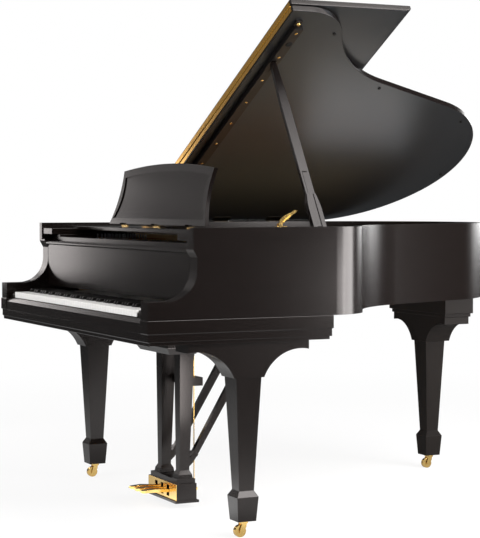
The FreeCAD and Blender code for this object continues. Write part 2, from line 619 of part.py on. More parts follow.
# Lid stick with the half stick let into it, and its bracket on the treble rim
turn = math.radians(LID_ANGLE)
dx = PROP_REACH
dz = -BAR_DROP + 5 - 0.4
tip_x = LID_AXIS_X + dx * math.cos(turn) - dz * math.sin(turn)
tip_z = LID_AXIS_Z + dx * math.sin(turn) + dz * math.cos(turn)
prop_lean = math.degrees(math.atan2(PROP_X - tip_x, tip_z - PROP_Z))
prop_len = math.hypot(PROP_X - tip_x, tip_z - PROP_Z)


def stand_prop(shape):
    out = shape.copy()
    out.rotate(V(0, 0, 0), V(0, 1, 0), -prop_lean)
    out.translate(V(PROP_X, PROP_Y, PROP_Z))
    return out


low_side = [(16, -12), (24, -4), (24, 118), (21, 146), (16.5, 172)]
high_side = [(16.5, 150), (16.5, prop_len - 190), (11, prop_len - 22), (8, prop_len - 5), (4, prop_len)]
low = slab(low_side + [(-y, z) for y, z in reversed(low_side)], "x", -11, 11)
high = slab(high_side + [(-y, z) for y, z in reversed(high_side)], "x", -7, 7)
stick = low.fuse(high).cut([box(-3, 12, -9, 9, 40, 262), rod(3 + RUN, (0, -30, 0), (0, 30, 0))])
stick = stick.fuse(rod(2.0, (4, -15, 52), (4, 15, 52)))
save("prop_stick", stand_prop(stick.removeSplitter()))
groove = rod(prop_len + 0.6, (PROP_X, PROP_Y - 10, PROP_Z), (PROP_X, PROP_Y + 10, PROP_Z))
groove = groove.common(raise_lid(box(cup_x - 75, cup_x + 13, bar_y0, bar_y1, lid_z0 - BAR_DROP - 5,
                                     lid_z0 - 5)))
save("lid_bar", [raise_lid(bar).cut(groove), raise_lid(socket)])
half_stick = box(0, 8, -8.6, 8.6, 47, 258).cut(rod(2.0 + RUN, (4, -20, 52), (4, 20, 52)))
save("half_stick", stand_prop(half_stick))
face_x = HALF - OUTER_T
bracket = box(face_x - 5, face_x, PROP_Y - 36, PROP_Y + 36, PROP_Z - 22, PROP_Z + 22)
for side in (-1, 1):
    y = PROP_Y + side * 28.0
    bracket = bracket.fuse(box(PROP_X - 8, face_x - 5, y - 2.5, y + 2.5, PROP_Z - 12, PROP_Z + 12))
bracket = bracket.fuse(rod(3.0, (PROP_X, PROP_Y - 30, PROP_Z), (PROP_X, PROP_Y + 30, PROP_Z)))
save("prop_bracket", bracket.removeSplitter().cut(outer))

# Brass catch on the treble rim: a hinge block and the lever standing up from it
catch_y = 474.0
catch_z = RIM_TOP + 6.0
base = box(face_x + 2, face_x + 18, catch_y - 14, catch_y + 24, RIM_TOP, RIM_TOP + 1.5)
for x in (face_x + 2, face_x + 15):
    base = base.fuse(box(x, x + 3, catch_y - 6, catch_y + 6, RIM_TOP, catch_z + 5))
base = base.fuse(rod(2.0, (face_x + 2, catch_y, catch_z), (face_x + 18, catch_y, catch_z)))
save("catch_base", base.removeSplitter())
lever = slab([(-3.4, -2.2), (-1, -3.2), (58, -2.2), (66, -3.5), (74, -3.0), (76, 2.0), (72, 6.0), (60, 6.0),
              (50, 9.5), (34, 13.5), (16, 12.5), (5, 6.5), (-1, 3.2), (-3.4, 2.2)],
             "x", face_x + 5.3, face_x + 14.7)
lever = lever.fuse(slab([(14, -2.0), (48, -2.0), (48, 2.0), (14, 2.0)], "x", face_x + 2.5, face_x + 17.5))
lever = lever.cut(rod(2.0 + RUN, (face_x - 5, 0, 0), (face_x + 25, 0, 0)))
lever.rotate(V(0, 0, 0), V(1, 0, 0), 38.0)
lever.translate(V(0, catch_y, catch_z))
save("catch_lever", lever.removeSplitter())

# Pedal lyre: head, two tapered posts on a stepped foot, pedal box, brass plate, braces
head = taper([(0, 387.5, LYRE_HALF, 50.5, LYRE_HEAD_Z), (0, 387.5, LYRE_HALF + 15, 65.5, LYRE_HEAD_Z + 24),
              (0, 387.5, LYRE_HALF + 15, 65.5, SLAB_BOTTOM)])
save("lyre_head", head)
posts = []
for side in (-1, 1):
    x = side * POST_X
    posts.append(taper([(x, 410, 27, 28, 103), (x, 410, 25, 26, 117), (x, 410, 17.5, 18.5, 131),
                        (x, 417, 26, 28, LYRE_HEAD_Z)]))
guide = box(-POST_X - 14, POST_X + 14, 438, 484, GUIDE_Z0, GUIDE_Z0 + 30)
for post in posts:
    guide = guide.cut(post)
for i in (-1, 0, 1):
    guide = guide.cut(rod(ROD_R + 0.6, (i * PEDAL_PITCH, ROD_Y, GUIDE_Z0 - 1),
                          (i * PEDAL_PITCH, ROD_Y, GUIDE_Z0 + 31)))
save("lyre_posts", posts + [guide])
chest = box(-BOX_HALF, BOX_HALF, BOX_Y0, BOX_Y1, BOX_Z0, BOX_Z1)
chest = chest.fuse(box(-BOX_HALF - 6, BOX_HALF + 6, BOX_Y0 - 7, BOX_Y1 + 7, BOX_Z0 - 9, BOX_Z0))
chest = chest.fuse(box(-BOX_HALF + 8, BOX_HALF - 8, 371, 443, BOX_Z1, 103.0))
chest = chest.cut(box(-BOX_HALF + 14, BOX_HALF - 14, BOX_Y0 + 10, BOX_Y1 - 10, BOX_Z0 + 4, BOX_Z1 - 4))
brass = box(-BOX_HALF, BOX_HALF, BOX_Y0 - 2, BOX_Y0, BOX_Z0 + 0.2, BOX_Z1 - 1)
for i in (-1, 0, 1):
    x = i * PEDAL_PITCH
    chest = chest.cut(box(x - 13, x + 13, BOX_Y0 - 10, BOX_Y1 + 10, BOX_Z0 + 8, BOX_Z1 - 9))
    brass = brass.cut(box(x - 12, x + 12, BOX_Y0 - 3, BOX_Y0 + 1, BOX_Z0 + 9, BOX_Z1 - 10))
chest = chest.fuse(rod(3.0, (-BOX_HALF + 10, PEDAL_AXIS_Y, PEDAL_AXIS_Z),
                       (BOX_HALF - 10, PEDAL_AXIS_Y, PEDAL_AXIS_Z)))
save("pedal_box", chest.removeSplitter())
save("pedal_plate", brass)
side_view = [(BOX_Y0 - 110, 57), (BOX_Y0 - 104, 53), (BOX_Y0 - 60, 54), (BOX_Y0, 51), (ROD_Y + 10, 51),
             (ROD_Y + 10, 60),
             (BOX_Y0, 61), (BOX_Y0 - 60, 65), (BOX_Y0 - 106, 62)]
for name, i in (("soft", -1), ("sostenuto", 0), ("damper", 1)):
    x = i * PEDAL_PITCH
    plan = [(x - 10, ROD_Y + 11), (x - 10, BOX_Y0 - 15), (x - 15, BOX_Y0 - 65), (x - 14, BOX_Y0 - 95),
            (x - 6, BOX_Y0 - 109),
            (x + 6, BOX_Y0 - 109), (x + 14, BOX_Y0 - 95), (x + 15, BOX_Y0 - 65), (x + 10,
                                                                                  BOX_Y0 - 15),
                                                                                  (x + 10, ROD_Y + 11)]
    pedal = slab(side_view, "x", x - 16, x + 16).common(slab(plan, "z", 20, 90))
    pedal = pedal.cut(rod(3.0 + RUN, (x - 20, PEDAL_AXIS_Y, PEDAL_AXIS_Z),
                          (x + 20, PEDAL_AXIS_Y, PEDAL_AXIS_Z)))
    save("pedal_" + name, pedal.removeSplitter())
    save("rod_" + name, rod(ROD_R, (x, ROD_Y, 60.6), (x, ROD_Y, SLAB_BOTTOM + 30)))
braces = []
for side in (-1, 1):
    x = side * POST_X
    stave = slab([(429, 140), (447, 156), (462, 178), (745, 640), (745, 655), (719, 655), (445, 190),
                  (430.1, 166)], "x", x - 10, x + 10)
    collar = slab([(442, 190), (462, 177), (467, 185), (447, 198)], "x", x - 13, x + 13)
    braces.append(stave.fuse(collar).removeSplitter())
cleat = box(-POST_X - 30, POST_X + 30, 695, 755, 655, RIM_BOTTOM)
save("lyre_braces", braces + [cleat])

# Legs: square tapered leg with spade foot under a coved bracket
def leg(cx, cy):
    return taper([(cx, cy, SPADE_FOOT_W / 2, SPADE_FOOT_W / 2, SPADE_BOTTOM),
                  (cx, cy, SPADE_W / 2, SPADE_W / 2, SPADE_TOP),
                  (cx, cy, LEG_ANKLE_W / 2, LEG_ANKLE_W / 2, ANKLE_Z),
                  (cx, cy, LEG_W / 2, LEG_W / 2, LEG_TOP_Z)])


def cove(c, reach, z0, z1, plane):
    # Bracket outline: hollow curve on both sides of the leg top, upright ends
    h = LEG_W / 2 + 9
    at = (lambda u, z: V(0, c + u, z)) if plane == "x" else (lambda u, z: V(c + u, 0, z))
    end = z1 - 30
    m = math.sqrt(0.5)
    pts = {}
    for s in (-1, 1):
        pts[s] = Part.Arc(at(s * h, z0), at(s * (reach - (reach - h) * m), end - (end - z0) * (1 - m)),
                          at(s * reach, end)).toShape()
    lines = [Part.makeLine(at(-h, z0), at(h, z0)), pts[1], Part.makeLine(at(reach, end), at(reach, z1)),
             Part.makeLine(at(reach, z1), at(-reach, z1)), Part.makeLine(at(-reach, z1),
                                                                         at(-reach, end)), pts[-1]]
    return Part.Face(Part.Wire(Part.__sortEdges__(lines)))


def stem_hole(cx, cy):
    return rod(4.0 + RUN, (cx, cy, SPADE_BOTTOM - 1), (cx, cy, SPADE_BOTTOM + 30))


for name, side in (("leg_front_left", -1), ("leg_front_right", 1)):
    cx = side * FRONT_LEG_X
    shape = cove(FRONT_LEG_Y, 218.0, LEG_TOP_Z, SLAB_BOTTOM, "x").extrude(V(LEG_W + 6, 0, 0))
    shape.translate(V(cx - (LEG_W + 6) / 2, 0, 0))
    shape = shape.fuse(leg(cx, FRONT_LEG_Y)).cut(stem_hole(cx, FRONT_LEG_Y))
    save(name, shape.removeSplitter())
block_z = 632.0
shape = cove(REAR_LEG_X, 195.0, LEG_TOP_Z, block_z, "y").extrude(V(0, LEG_W + 24, 0))
shape.translate(V(0, REAR_LEG_Y - LEG_W / 2 - 7, 0))
shape = shape.fuse([box(REAR_LEG_X - 203, REAR_LEG_X + 203, REAR_LEG_Y - 56, REAR_LEG_Y + 66, block_z,
                        block_z + 14),
                    box(REAR_LEG_X - 215, REAR_LEG_X + 215, REAR_LEG_Y - 62, REAR_LEG_Y + 70, block_z + 14,
                        RIM_BOTTOM)])
shape = shape.fuse(leg(REAR_LEG_X, REAR_LEG_Y)).cut(stem_hole(REAR_LEG_X, REAR_LEG_Y))
save("leg_rear", shape.removeSplitter())

# Casters: brass fork on an upright stem, wheel trailing towards the keyboard
spots = {"front_left": (-FRONT_LEG_X, FRONT_LEG_Y), "front_right": (FRONT_LEG_X, FRONT_LEG_Y),
         "rear": (REAR_LEG_X, REAR_LEG_Y)}
for name, (cx, cy) in spots.items():
    axle_y = cy - CASTER_TRAIL
    fork = rod(4.0, (cx, cy, SPADE_BOTTOM - 6), (cx, cy, SPADE_BOTTOM + 26))
    fork = fork.fuse(box(cx - 14, cx + 14, cy - 12, cy + 12, SPADE_BOTTOM - 9, SPADE_BOTTOM - 0.5))
    for s in (-1, 1):
        x = cx + s * 11.5
        fork = fork.fuse(slab([(axle_y - 5, CASTER_R - 5), (axle_y + 4, CASTER_R - 5),
                               (cy + 6, CASTER_R + 12), (cy + 9, SPADE_BOTTOM - 5),
                               (cy - 8, SPADE_BOTTOM - 5), (axle_y - 5, CASTER_R + 4)],
                              "x", x - 2.0, x + 2.0))
    fork = fork.fuse(rod(3.0, (cx - 13, axle_y, CASTER_R), (cx + 13, axle_y, CASTER_R)))
    save("caster_fork_" + name, fork.removeSplitter())
    wheel = rod(CASTER_R, (cx - 8, axle_y, CASTER_R), (cx + 8, axle_y, CASTER_R))
    wheel = wheel.cut(rod(3.0 + RUN, (cx - 9, axle_y, CASTER_R), (cx + 9, axle_y, CASTER_R)))
    save("caster_wheel_" + name, wheel)
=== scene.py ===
import json
import math
import bmesh
import bpy
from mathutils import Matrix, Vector


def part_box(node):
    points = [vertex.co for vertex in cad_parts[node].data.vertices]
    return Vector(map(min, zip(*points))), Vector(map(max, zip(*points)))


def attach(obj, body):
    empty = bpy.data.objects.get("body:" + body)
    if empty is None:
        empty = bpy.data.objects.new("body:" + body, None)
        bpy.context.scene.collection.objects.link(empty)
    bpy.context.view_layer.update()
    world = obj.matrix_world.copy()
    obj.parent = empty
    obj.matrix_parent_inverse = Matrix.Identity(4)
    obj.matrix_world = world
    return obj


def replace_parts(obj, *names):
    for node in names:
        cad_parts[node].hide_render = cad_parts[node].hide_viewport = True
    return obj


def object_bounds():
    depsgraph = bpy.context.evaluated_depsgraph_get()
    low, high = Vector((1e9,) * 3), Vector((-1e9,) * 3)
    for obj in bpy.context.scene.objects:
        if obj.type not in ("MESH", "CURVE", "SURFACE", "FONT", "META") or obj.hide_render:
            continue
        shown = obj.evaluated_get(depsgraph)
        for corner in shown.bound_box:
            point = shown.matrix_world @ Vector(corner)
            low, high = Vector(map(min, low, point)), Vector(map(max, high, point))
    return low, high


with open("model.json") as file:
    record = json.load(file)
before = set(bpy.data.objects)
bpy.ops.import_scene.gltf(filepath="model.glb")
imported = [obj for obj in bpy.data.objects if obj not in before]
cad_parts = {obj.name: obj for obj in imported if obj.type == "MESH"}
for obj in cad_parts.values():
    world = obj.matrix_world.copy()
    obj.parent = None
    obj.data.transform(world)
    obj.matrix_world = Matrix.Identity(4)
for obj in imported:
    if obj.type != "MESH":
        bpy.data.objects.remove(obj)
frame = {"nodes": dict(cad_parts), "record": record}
cad_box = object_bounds()


# Outer rim: maple veneers glued up and bent round a form in one piece, from the treble arm round the tail
# to the bass arm. It is sprayed black and rubbed down along its length to a satin lacquer.
class Tone:
    """A socket of a node tree, so that sums on it are written as plain Python."""

    def __init__(self, tree, out=None):
        self.tree = tree
        self.out = out

    def make(self, kind, settings=None, sockets=None, out=0):
        node = self.tree.nodes.new(kind)
        for name, value in (settings or {}).items():
            setattr(node, name, value)
        for name, value in (sockets or {}).items():
            if isinstance(value, Tone):
                self.tree.links.new(value.out, node.inputs[name])
            else:
                node.inputs[name].default_value = value
        return Tone(self.tree, node.outputs[out] if len(node.outputs) else None)

    def sums(self, operation, a, b):
        return self.make("ShaderNodeMath", {"operation": operation}, {0: a, 1: b})

    def __add__(self, other):
        return self.sums("ADD", self, other)

    def __sub__(self, other):
        return self.sums("SUBTRACT", self, other)

    def __rsub__(self, other):
        return self.sums("SUBTRACT", other, self)

    def __mul__(self, other):
        return self.sums("MULTIPLY", self, other)

    def __gt__(self, other):
        return self.sums("GREATER_THAN", self, other)

    def stretched(self, by):
        return self.make("ShaderNodeVectorMath", {"operation": "MULTIPLY"}, {0: self, 1: by})

    def noise(self, scale, detail=3.0):
        return self.make("ShaderNodeTexNoise", {}, {"Vector": self, "Scale": scale, "Detail": detail})

    def between(self, first, second):
        return self.make("ShaderNodeMix", {"data_type": "RGBA"}, {0: self, 6: first, 7: second}, 2)

    def eased(self, start, end, low, high):
        return self.make("ShaderNodeMapRange", {"interpolation_type": "SMOOTHSTEP"},
                         {0: self, 1: start, 2: end, 3: low, 4: high})

    def away_from(self, point):
        return self.make("ShaderNodeVectorMath", {"operation": "DISTANCE"}, {0: self, 1: point}, "Value")


def new_finish(name, slot):
    finish = bpy.data.materials.new(name)
    finish.use_nodes = True
    finish["slot"] = slot
    tree = finish.node_tree
    place = Tone(tree).make("ShaderNodeTexCoord", {}, {}, "Object")
    return finish, tree.nodes["Principled BSDF"], place


def feed(surface, place, sockets, height, strength, distance):
    for name, value in sockets.items():
        if isinstance(value, Tone):
            place.tree.links.new(value.out, surface.inputs[name])
        else:
            surface.inputs[name].default_value = value
    bump = place.make("ShaderNodeBump", {}, {"Strength": strength, "Distance": distance, "Height": height})
    place.tree.links.new(bump.out, surface.inputs["Normal"])


def satin_lacquer(name, lines, gloss=0.21, body=0.5, shine=0.32, tint=(1.0, 0.955, 0.94, 1)):
    # Lines are how close the rubbing marks lie along x, y and z, body is the grey of the coat and shine the
    # strength of what it mirrors
    finish, surface, place = new_finish(name, "lacquer")
    rub = place.stretched(lines).noise(1.0, 4.0)
    cloud = place.noise(2.3)
    deep = (0.0011 + 0.0022 * body, 0.0002 + 0.0022 * body, 0.0021 * body, 1)
    worn = (0.0022 + 0.0062 * body, 0.0003 + 0.0061 * body, 0.0058 * body, 1)
    colour = (rub * 0.7 + cloud * 0.3).between(deep, worn)
    feed(surface, place, {"Base Color": colour, "Roughness": rub * 0.10 + cloud * 0.05 + (gloss - 0.075),
                          "Specular IOR Level": shine, "Specular Tint": tint}, rub, 0.05, 0.0003)
    return finish


def body_of(node):
    return next(b for b, nodes in frame["record"]["behaviour"]["bodies"].items() if node in nodes)


def plain_mesh(piece):
    # The piece as its modifiers leave it, with none of them left on it
    ready = piece.evaluated_get(bpy.context.evaluated_depsgraph_get())
    piece_mesh = bpy.data.meshes.new_from_object(ready)
    piece.modifiers.clear()
    piece.data = piece_mesh


def placed(name, mesh, finish):
    piece = bpy.data.objects.new(name, mesh)
    bpy.context.scene.collection.objects.link(piece)
    mesh.materials.clear()
    mesh.materials.append(finish)
    return piece


WELD = 2e-5
FLAT_WITHIN = math.radians(0.5)
ARRIS_FROM = math.radians(20)
FLAT_WEIGHT = 60


def dressed(node, name, finish, edge, steps=2, worked=None):
    # A node's own shape with its arrises taken off, as a worked edge has them
    work = bmesh.new()
    work.from_mesh(frame["nodes"][node].data)
    bmesh.ops.remove_doubles(work, verts=work.verts, dist=WELD)
    bmesh.ops.dissolve_limit(work, angle_limit=FLAT_WITHIN, verts=work.verts, edges=work.edges)
    if worked:
        worked(work)
    for face in work.faces:
        face.smooth = True
    mesh = bpy.data.meshes.new(name)
    work.to_mesh(mesh)
    work.free()
    piece = placed(name, mesh, finish)
    arris = piece.modifiers.new("arris", "BEVEL")
    arris.width = edge
    arris.segments = steps
    arris.limit_method = "ANGLE"
    arris.angle_limit = ARRIS_FROM
    flats = piece.modifiers.new("flats", "WEIGHTED_NORMAL")
    flats.weight = FLAT_WEIGHT
    plain_mesh(piece)
    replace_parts(piece, node)
    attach(piece, body_of(node))
    return piece


rim_lacquer = satin_lacquer("rim_lacquer", (3.0, 3.0, 650.0))
dressed("outer_rim", "bent_rim", rim_lacquer, 0.0018)

# Inner rim and braces: hardwood laminations glued inside the outer rim to carry the soundboard, with straight
# beams let in between them. Left in the bare wood under a thin coat of varnish.
BEECH_PALE = (0.42, 0.27, 0.13, 1)
BEECH_DARK = (0.27, 0.155, 0.068, 1)


def bare_wood(name, slot, pale, dark, lines):
    finish, surface, place = new_finish(name, slot)
    grain = place.stretched(lines).noise(1.0, 5.0)
    fleck = place.stretched(tuple(6 * v for v in lines)).noise(1.0, 2.0)
    colour = (grain * 0.75 + fleck * 0.25).between(dark, pale)
    feed(surface, place, {"Base Color": colour, "Roughness": grain * 0.18 + 0.33}, grain, 0.15, 0.0006)
    return finish


beech = bare_wood("varnished_beech", "spruce", BEECH_PALE, BEECH_DARK, (6.0, 6.0, 190.0))
dressed("inner_rim", "inner_rim_lamination", beech, 0.0012)
beam_beech = bare_wood("beam_beech", "spruce", BEECH_PALE, BEECH_DARK, (150.0, 5.0, 150.0))
dressed("case_frame", "case_beams", beam_beech, 0.0015)

# Soundboard: quarter-sawn spruce boards edge-glued with the grain slanting across the case, under clear
# varnish. The two bridges on it are capped beech, a shade darker.
SPRUCE_PALE = (0.62, 0.46, 0.26, 1)
SPRUCE_DARK = (0.45, 0.31, 0.155, 1)
BRIDGE_TONE = (0.34, 0.20, 0.085, 1)
BOARD_THICK = 0.0085
BOARD_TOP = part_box("soundboard")[0][2] + BOARD_THICK
GRAIN_SLANT = math.radians(38)
spruce, surface, place = new_finish("soundboard_spruce", "spruce")
slanted = place.make("ShaderNodeMapping", {}, {"Vector": place, "Rotation": (0.0, 0.0, GRAIN_SLANT)})
rings = slanted.stretched((240.0, 3.0, 40.0)).noise(1.0, 3.0)
boards = slanted.stretched((9.0, 0.4, 1.0)).noise(1.0, 0.0)
field = (rings * 0.65 + boards * 0.35).between(SPRUCE_DARK, SPRUCE_PALE)
height = place.make("ShaderNodeSeparateXYZ", {}, {0: place}, "Z")
colour = (height > BOARD_TOP).between(field, BRIDGE_TONE)
feed(surface, place, {"Base Color": colour, "Roughness": rings * 0.15 + 0.22}, rings, 0.12, 0.0004)
dressed("soundboard", "spruce_soundboard", spruce, 0.001)

# Iron plate: one grey-iron casting with three struts, ground, painted with gold bronze powder and varnished.
# Large bolts hold it down round the rim and hitch pins stand along its far edge.
PLATE_GOLD = (0.50, 0.37, 0.18, 1)
PLATE_SHADE = (0.37, 0.26, 0.115, 1)
plate_bronze, surface, place = new_finish("plate_bronze", "plate")
cast = place.noise(70.0, 4.0)
powder = place.noise(900.0, 2.0)
feed(surface, place, {"Base Color": (cast * 0.5 + powder * 0.5).between(PLATE_SHADE, PLATE_GOLD),
                      "Metallic": 0.55, "Roughness": powder * 0.2 + 0.32}, cast, 0.18, 0.0012)
dressed("iron_plate", "bronzed_plate", plate_bronze, 0.0025, 3)
RIM_LOW, RIM_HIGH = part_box("outer_rim")
CASE_MIDDLE = (RIM_LOW[0] + RIM_HIGH[0]) / 2
CASE_FRONT = cad_box[0][1]


def at(x, y, z):
    # From millimetres off the middle of the case's front edge to the frame's metres
    return Vector((x / 1000 + CASE_MIDDLE, y / 1000 + CASE_FRONT, z / 1000))


def turned(name, profile, sides):
    # A lathe-turned shape: radius and height in mm, from the foot to the top
    work = bmesh.new()
    rings = []
    for r, z in profile:
        rings.append([work.verts.new((r / 1000 * math.cos(2 * math.pi * k / sides),
                                      r / 1000 * math.sin(2 * math.pi * k / sides), z / 1000))
                      for k in range(sides)])
    for low, high in zip(rings, rings[1:]):
        for k in range(sides):
            work.faces.new((low[k], low[(k + 1) % sides], high[(k + 1) % sides], high[k])).smooth = True
    work.faces.new(list(reversed(rings[0])))
    work.faces.new(rings[-1])
    mesh = bpy.data.meshes.new(name)
    work.to_mesh(mesh)
    work.free()
    return mesh


def node_tree(name, inputs):
    tree = bpy.data.node_groups.new(name, "GeometryNodeTree")
    for label, kind in inputs:
        tree.interface.new_socket(label, in_out="INPUT", socket_type=kind)
    tree.interface.new_socket("Made", in_out="OUTPUT", socket_type="NodeSocketGeometry")
    return tree, Tone(tree), lambda label: Tone(tree).make("NodeGroupInput", {}, {}, label)


rows, t, given = node_tree("set_out_in_rows", (
    ("Places", "NodeSocketGeometry"), ("Pattern", "NodeSocketObject"), ("Finish", "NodeSocketMaterial")))
pattern = t.make("GeometryNodeObjectInfo", {}, {"Object": given("Pattern")}, "Geometry")
many = t.make("GeometryNodeInstanceOnPoints", {}, {"Points": given("Places"), "Instance": pattern})
solid = t.make("GeometryNodeRealizeInstances", {}, {"Geometry": many})
painted = t.make("GeometryNodeSetMaterial", {}, {"Geometry": solid, "Material": given("Finish")})
t.make("NodeGroupOutput", {}, {"Made": painted})


def by_nodes(name, host_mesh, tree, inputs, body):
    piece = bpy.data.objects.new(name, host_mesh)
    bpy.context.scene.collection.objects.link(piece)
    step = piece.modifiers.new("rows", "NODES")
    step.node_group = tree
    for item in tree.interface.items_tree:
        if item.in_out == "INPUT" and item.name in inputs:
            step[item.identifier] = inputs[item.name]
    plain_mesh(piece)
    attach(piece, body)
    return piece


def set_out(name, pattern_mesh, places, finish, body):
    host = bpy.data.meshes.new(name)
    host.from_pydata([tuple(p) for p in places], [], [])
    pattern = bpy.data.objects.new(name + "_pattern", pattern_mesh)
    piece = by_nodes(name, host, rows, {"Pattern": pattern, "Finish": finish}, body)
    bpy.data.objects.remove(pattern)
    return piece


def islands(node):
    # The separate solids of a node, each as its own list of points
    work = bmesh.new()
    work.from_mesh(frame["nodes"][node].data)
    bmesh.ops.remove_doubles(work, verts=work.verts, dist=WELD / 2)
    left = set(work.verts)
    found = []
    for start in work.verts:
        if start not in left:
            continue
        left.remove(start)
        group = [start]
        for v in group:
            for e in v.link_edges:
                other = e.other_vert(v)
                if other in left:
                    left.remove(other)
                    group.append(other)
        found.append([v.co.copy() for v in group])
    work.free()
    return found


PLATE_TOP = 914.0
BOLT_SINK = 0.3
bolt = turned("plate_bolt", [(9, 0), (9, 1.5), (7.5, 2.2), (7.5, 7), (6.2, 8.6), (2, 9)], 12)
bolt_spots = [(-640, y) for y in (420, 700, 980, 1260, 1480)]
bolt_spots += [(640, 420), (628, 620), (-450, 1668), (-300, 1745), (-150, 1735)]
bolt_spots += [(506, 814), (397, 897), (322, 985), (252, 1110)]
bolt_spots += [(205, 1230), (151, 1370), (115, 1463), (-20, 1600)]
set_out("plate_bolts", bolt, [at(x, y, PLATE_TOP - BOLT_SINK) for x, y in bolt_spots], plate_bronze, "case")

# Tuning pins: blued steel pins driven through the plate into the block below, three to a note in the treble,
# two and one in the bass, each with the coils of its string wound on.
PIN_BLUE = (0.20, 0.21, 0.24, 1)
PIN_BRIGHT = (0.42, 0.42, 0.44, 1)
blued_steel, surface, place = new_finish("blued_steel", "steel")
scale_marks = place.noise(420.0)
feed(surface, place, {"Base Color": scale_marks.between(PIN_BLUE, PIN_BRIGHT), "Metallic": 1.0,
                      "Roughness": scale_marks * 0.2 + 0.22}, scale_marks, 0.05, 0.0002)
END_FACE = 0.0005
notes = []
for points in islands("strings"):
    near = min(p.y for p in points)
    first = [p for p in points if p.y < near + END_FACE]
    last = sorted(points, key=lambda p: p.y)[-4:]
    notes.append((sum(first, Vector()) / len(first), sum(last, Vector()) / len(last)))
notes.sort(key=lambda run: run[0].x)
SINGLE, PAIRED = 8, 26
PIN_STAGGER = Vector((0.0038, 0.0085, 0.0))
PIN_BACK, PIN_DROP = 0.0032, 0.0105
COIL_SIDE = Vector((0.0034, 0.0, 0.0))
BASS_SPREAD, PLAIN_SPREAD = 0.0042, 0.0026
BRIDGE_BACK = 0.035
HITCH_DROP = Vector((0, 0, 0.013))
pin = turned("wound_pin", [(3.4, 0), (3.4, 7), (4.5, 7.4), (4.5, 12.6), (3.4, 13), (3.2, 24), (2.2, 28)], 8)
pin_spots = []
runs = {"copper": [], "steel": []}
for n, (start, end) in enumerate(notes):
    count = 1 if n < SINGLE else 2 if n < PAIRED else 3
    for k in range(count):
        side = k - (count - 1) / 2
        foot = start + side * PIN_STAGGER
        pin_spots.append((foot.x, foot.y - PIN_BACK, start.z - PIN_DROP))
        spread = Vector((side * (BASS_SPREAD if n < PAIRED else PLAIN_SPREAD), 0.0, 0.0))
        way = (end - start).normalized()
        runs["copper" if n < PAIRED else "steel"].append(
            (foot + COIL_SIDE, end + spread - way * BRIDGE_BACK, end + spread - HITCH_DROP))
piece = set_out("tuning_pin_rows", pin, pin_spots, blued_steel, "case")
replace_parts(piece, "tuning_pins")

# Strings: plain steel music wire through the treble and copper-wound wire for the bass, drawn tight from the
# tuning pins over the bridges to hitch pins in the plate.
wires, t, given = node_tree("drawn_wire", (
    ("Runs", "NodeSocketGeometry"), ("Gauge", "NodeSocketFloat"), ("Sides", "NodeSocketInt"),
    ("Finish", "NodeSocketMaterial")))
path = t.make("GeometryNodeMeshToCurve", {}, {"Mesh": given("Runs")})
ring = t.make("GeometryNodeCurvePrimitiveCircle", {}, {"Resolution": given("Sides"),
                                                       "Radius": given("Gauge")})
drawn = t.make("GeometryNodeCurveToMesh", {}, {"Curve": path, "Profile Curve": ring, "Fill Caps": True})
solid = t.make("GeometryNodeRealizeInstances", {}, {"Geometry": drawn})
painted = t.make("GeometryNodeSetMaterial", {}, {"Geometry": solid, "Material": given("Finish")})
t.make("NodeGroupOutput", {}, {"Made": painted})


def wire(name, lines, gauge, sides, finish, body):
    points = []
    edges = []
    for line in lines:
        edges += [(len(points) + k, len(points) + k + 1) for k in range(len(line) - 1)]
        points += [tuple(p) for p in line]
    host = bpy.data.meshes.new(name)
    host.from_pydata(points, edges, [])
    return by_nodes(name, host, wires, {"Gauge": gauge, "Sides": sides, "Finish": finish}, body)


def metal(name, slot, bright, dull, gloss, lines=(60.0, 60.0, 60.0)):
    finish, surface, place = new_finish(name, slot)
    rub = place.stretched(lines).noise(1.0, 4.0)
    tarnish = place.noise(9.0)
    feed(surface, place, {"Base Color": (rub * 0.45 + tarnish * 0.55).between(dull, bright), "Metallic": 1.0,
                          "Roughness": rub * 0.10 + tarnish * 0.10 + (gloss - 0.10)}, rub, 0.04, 0.0003)
    return finish


WIRE_BRIGHT, WIRE_DULL = (0.50, 0.50, 0.51, 1), (0.34, 0.34, 0.35, 1)
COPPER_BRIGHT, COPPER_DULL = (0.52, 0.26, 0.13, 1), (0.36, 0.16, 0.075, 1)
WINDINGS = 300.0
BASS_GAUGE, PLAIN_GAUGE = 0.0011, 0.00045
music_wire = metal("music_wire", "steel", WIRE_BRIGHT, WIRE_DULL, gloss=0.28)
copper_wound, surface, place = new_finish("copper_wound_wire", "steel")
winding = place.make("ShaderNodeTexWave", {"bands_direction": "Y"}, {"Vector": place, "Scale": WINDINGS})
feed(surface, place, {"Base Color": place.noise(14.0).between(COPPER_DULL, COPPER_BRIGHT),
                      "Metallic": 1.0, "Roughness": place.noise(30.0) * 0.2 + 0.24}, winding, 0.2, 0.0003)
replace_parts(wire("bass_strings", runs["copper"], BASS_GAUGE, 6, copper_wound, "case"), "strings")
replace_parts(wire("plain_strings", runs["steel"], PLAIN_GAUGE, 5, music_wire, "case"), "strings")
hitch = turned("hitch_pin", [(1.6, 0), (1.6, 7), (0.9, 8)], 6)
HITCH_FOOT = 0.9136
hitch_spots = [(line[-1].x, line[-1].y, HITCH_FOOT) for line in runs["copper"] + runs["steel"]]
set_out("hitch_pins", hitch, hitch_spots, music_wire, "case")

# Keybed, key blocks, key slip and the base moulding: laminated boards screwed up under the case, the moulding
# planed in steps and mitred round the front, all in the same lacquer as the rim.
bed_lacquer = satin_lacquer("bed_lacquer", (3.0, 420.0, 420.0))
dressed("keybed", "keybed_board", bed_lacquer, 0.0012)
dressed("base_moulding", "stepped_moulding", bed_lacquer, 0.0022, 3)
dressed("key_slip", "key_slip_rail", bed_lacquer, 0.0095, 4)
dressed("key_blocks", "key_end_blocks", bed_lacquer, 0.0022)

